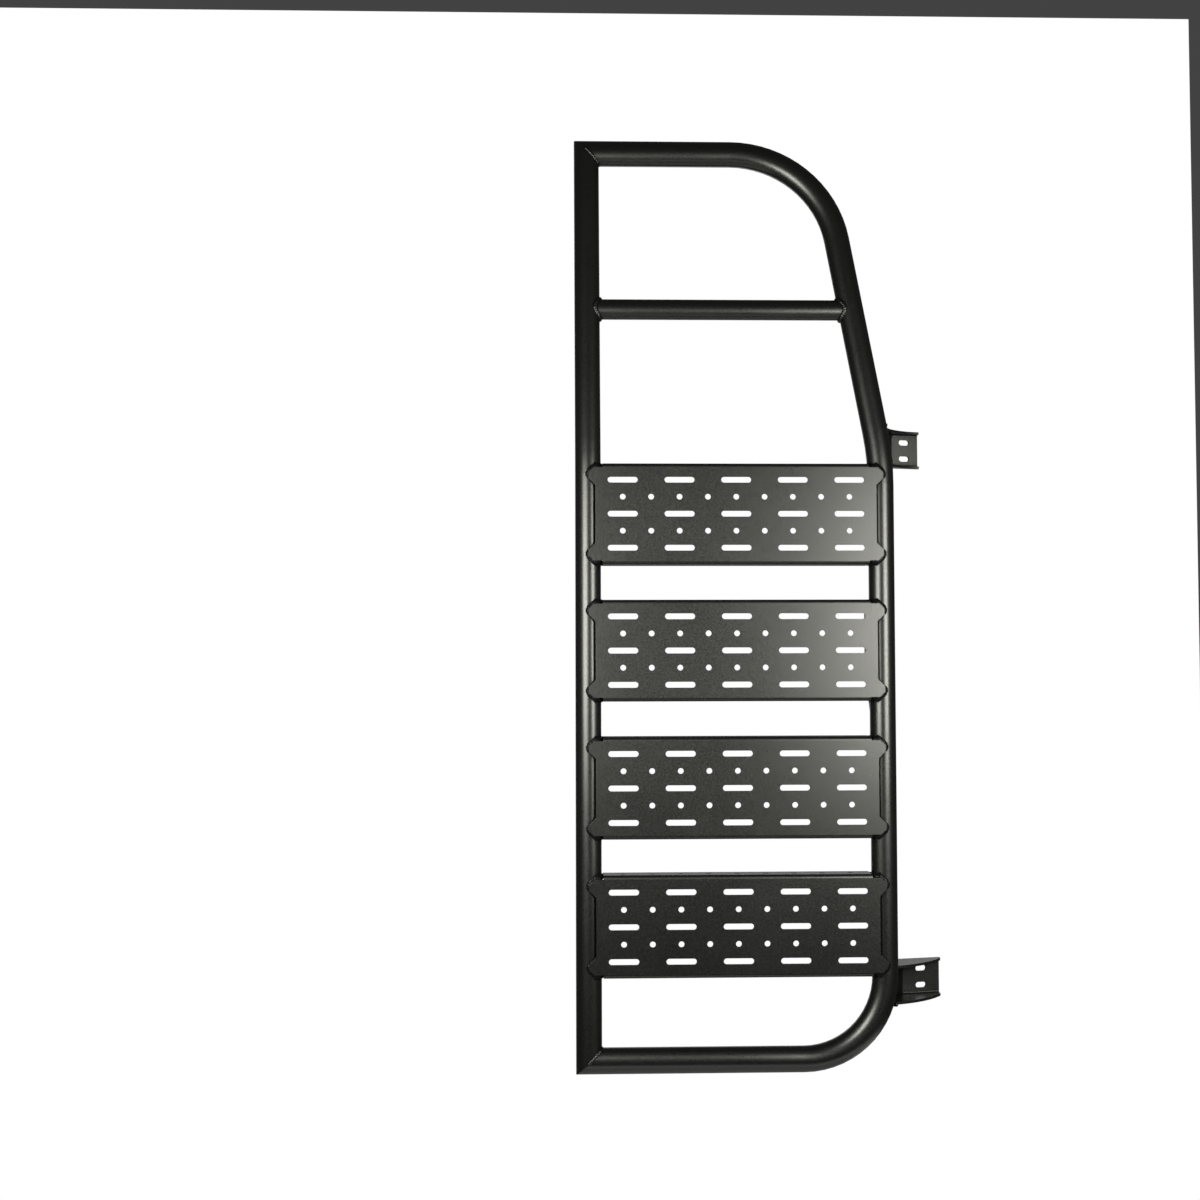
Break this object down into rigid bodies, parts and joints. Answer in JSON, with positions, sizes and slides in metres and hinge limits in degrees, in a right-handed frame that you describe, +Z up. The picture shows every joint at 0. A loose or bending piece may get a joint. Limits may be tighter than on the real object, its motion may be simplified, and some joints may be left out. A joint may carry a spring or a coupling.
{
  "type": "van rear door ladder",
  "caption": "Welded tube ladder for a van's rear door, with folded perforated steps, a grab rung, hinge brackets with bolt slots and a stand-off pad, in black powder coat.",
  "frame": {"origin": "midway between the two bolt slots on the rear face of the upper hinge plate", "axes": "+Z up, +Y towards the door, +X to the right for someone who faces the steps"},
  "size_m": [0.5839, 0.1415, 1.47],
  "materials": {
    "black_powder_coat": "satin black powder coat on steel, finely textured"
  },
  "bodies": {
    "root": {"left_rail": "black_powder_coat", "bent_rail": "black_powder_coat", "grab_rung": "black_powder_coat", "step_1": "black_powder_coat", "step_2": "black_powder_coat", "step_3": "black_powder_coat", "step_4": "black_powder_coat", "upper_hinge_channel": "black_powder_coat", "upper_hinge_web": "black_powder_coat", "lower_hinge_channel": "black_powder_coat", "lower_hinge_web": "black_powder_coat", "standoff_strap": "black_powder_coat", "standoff_gusset": "black_powder_coat"}
  },
  "joints": []
}
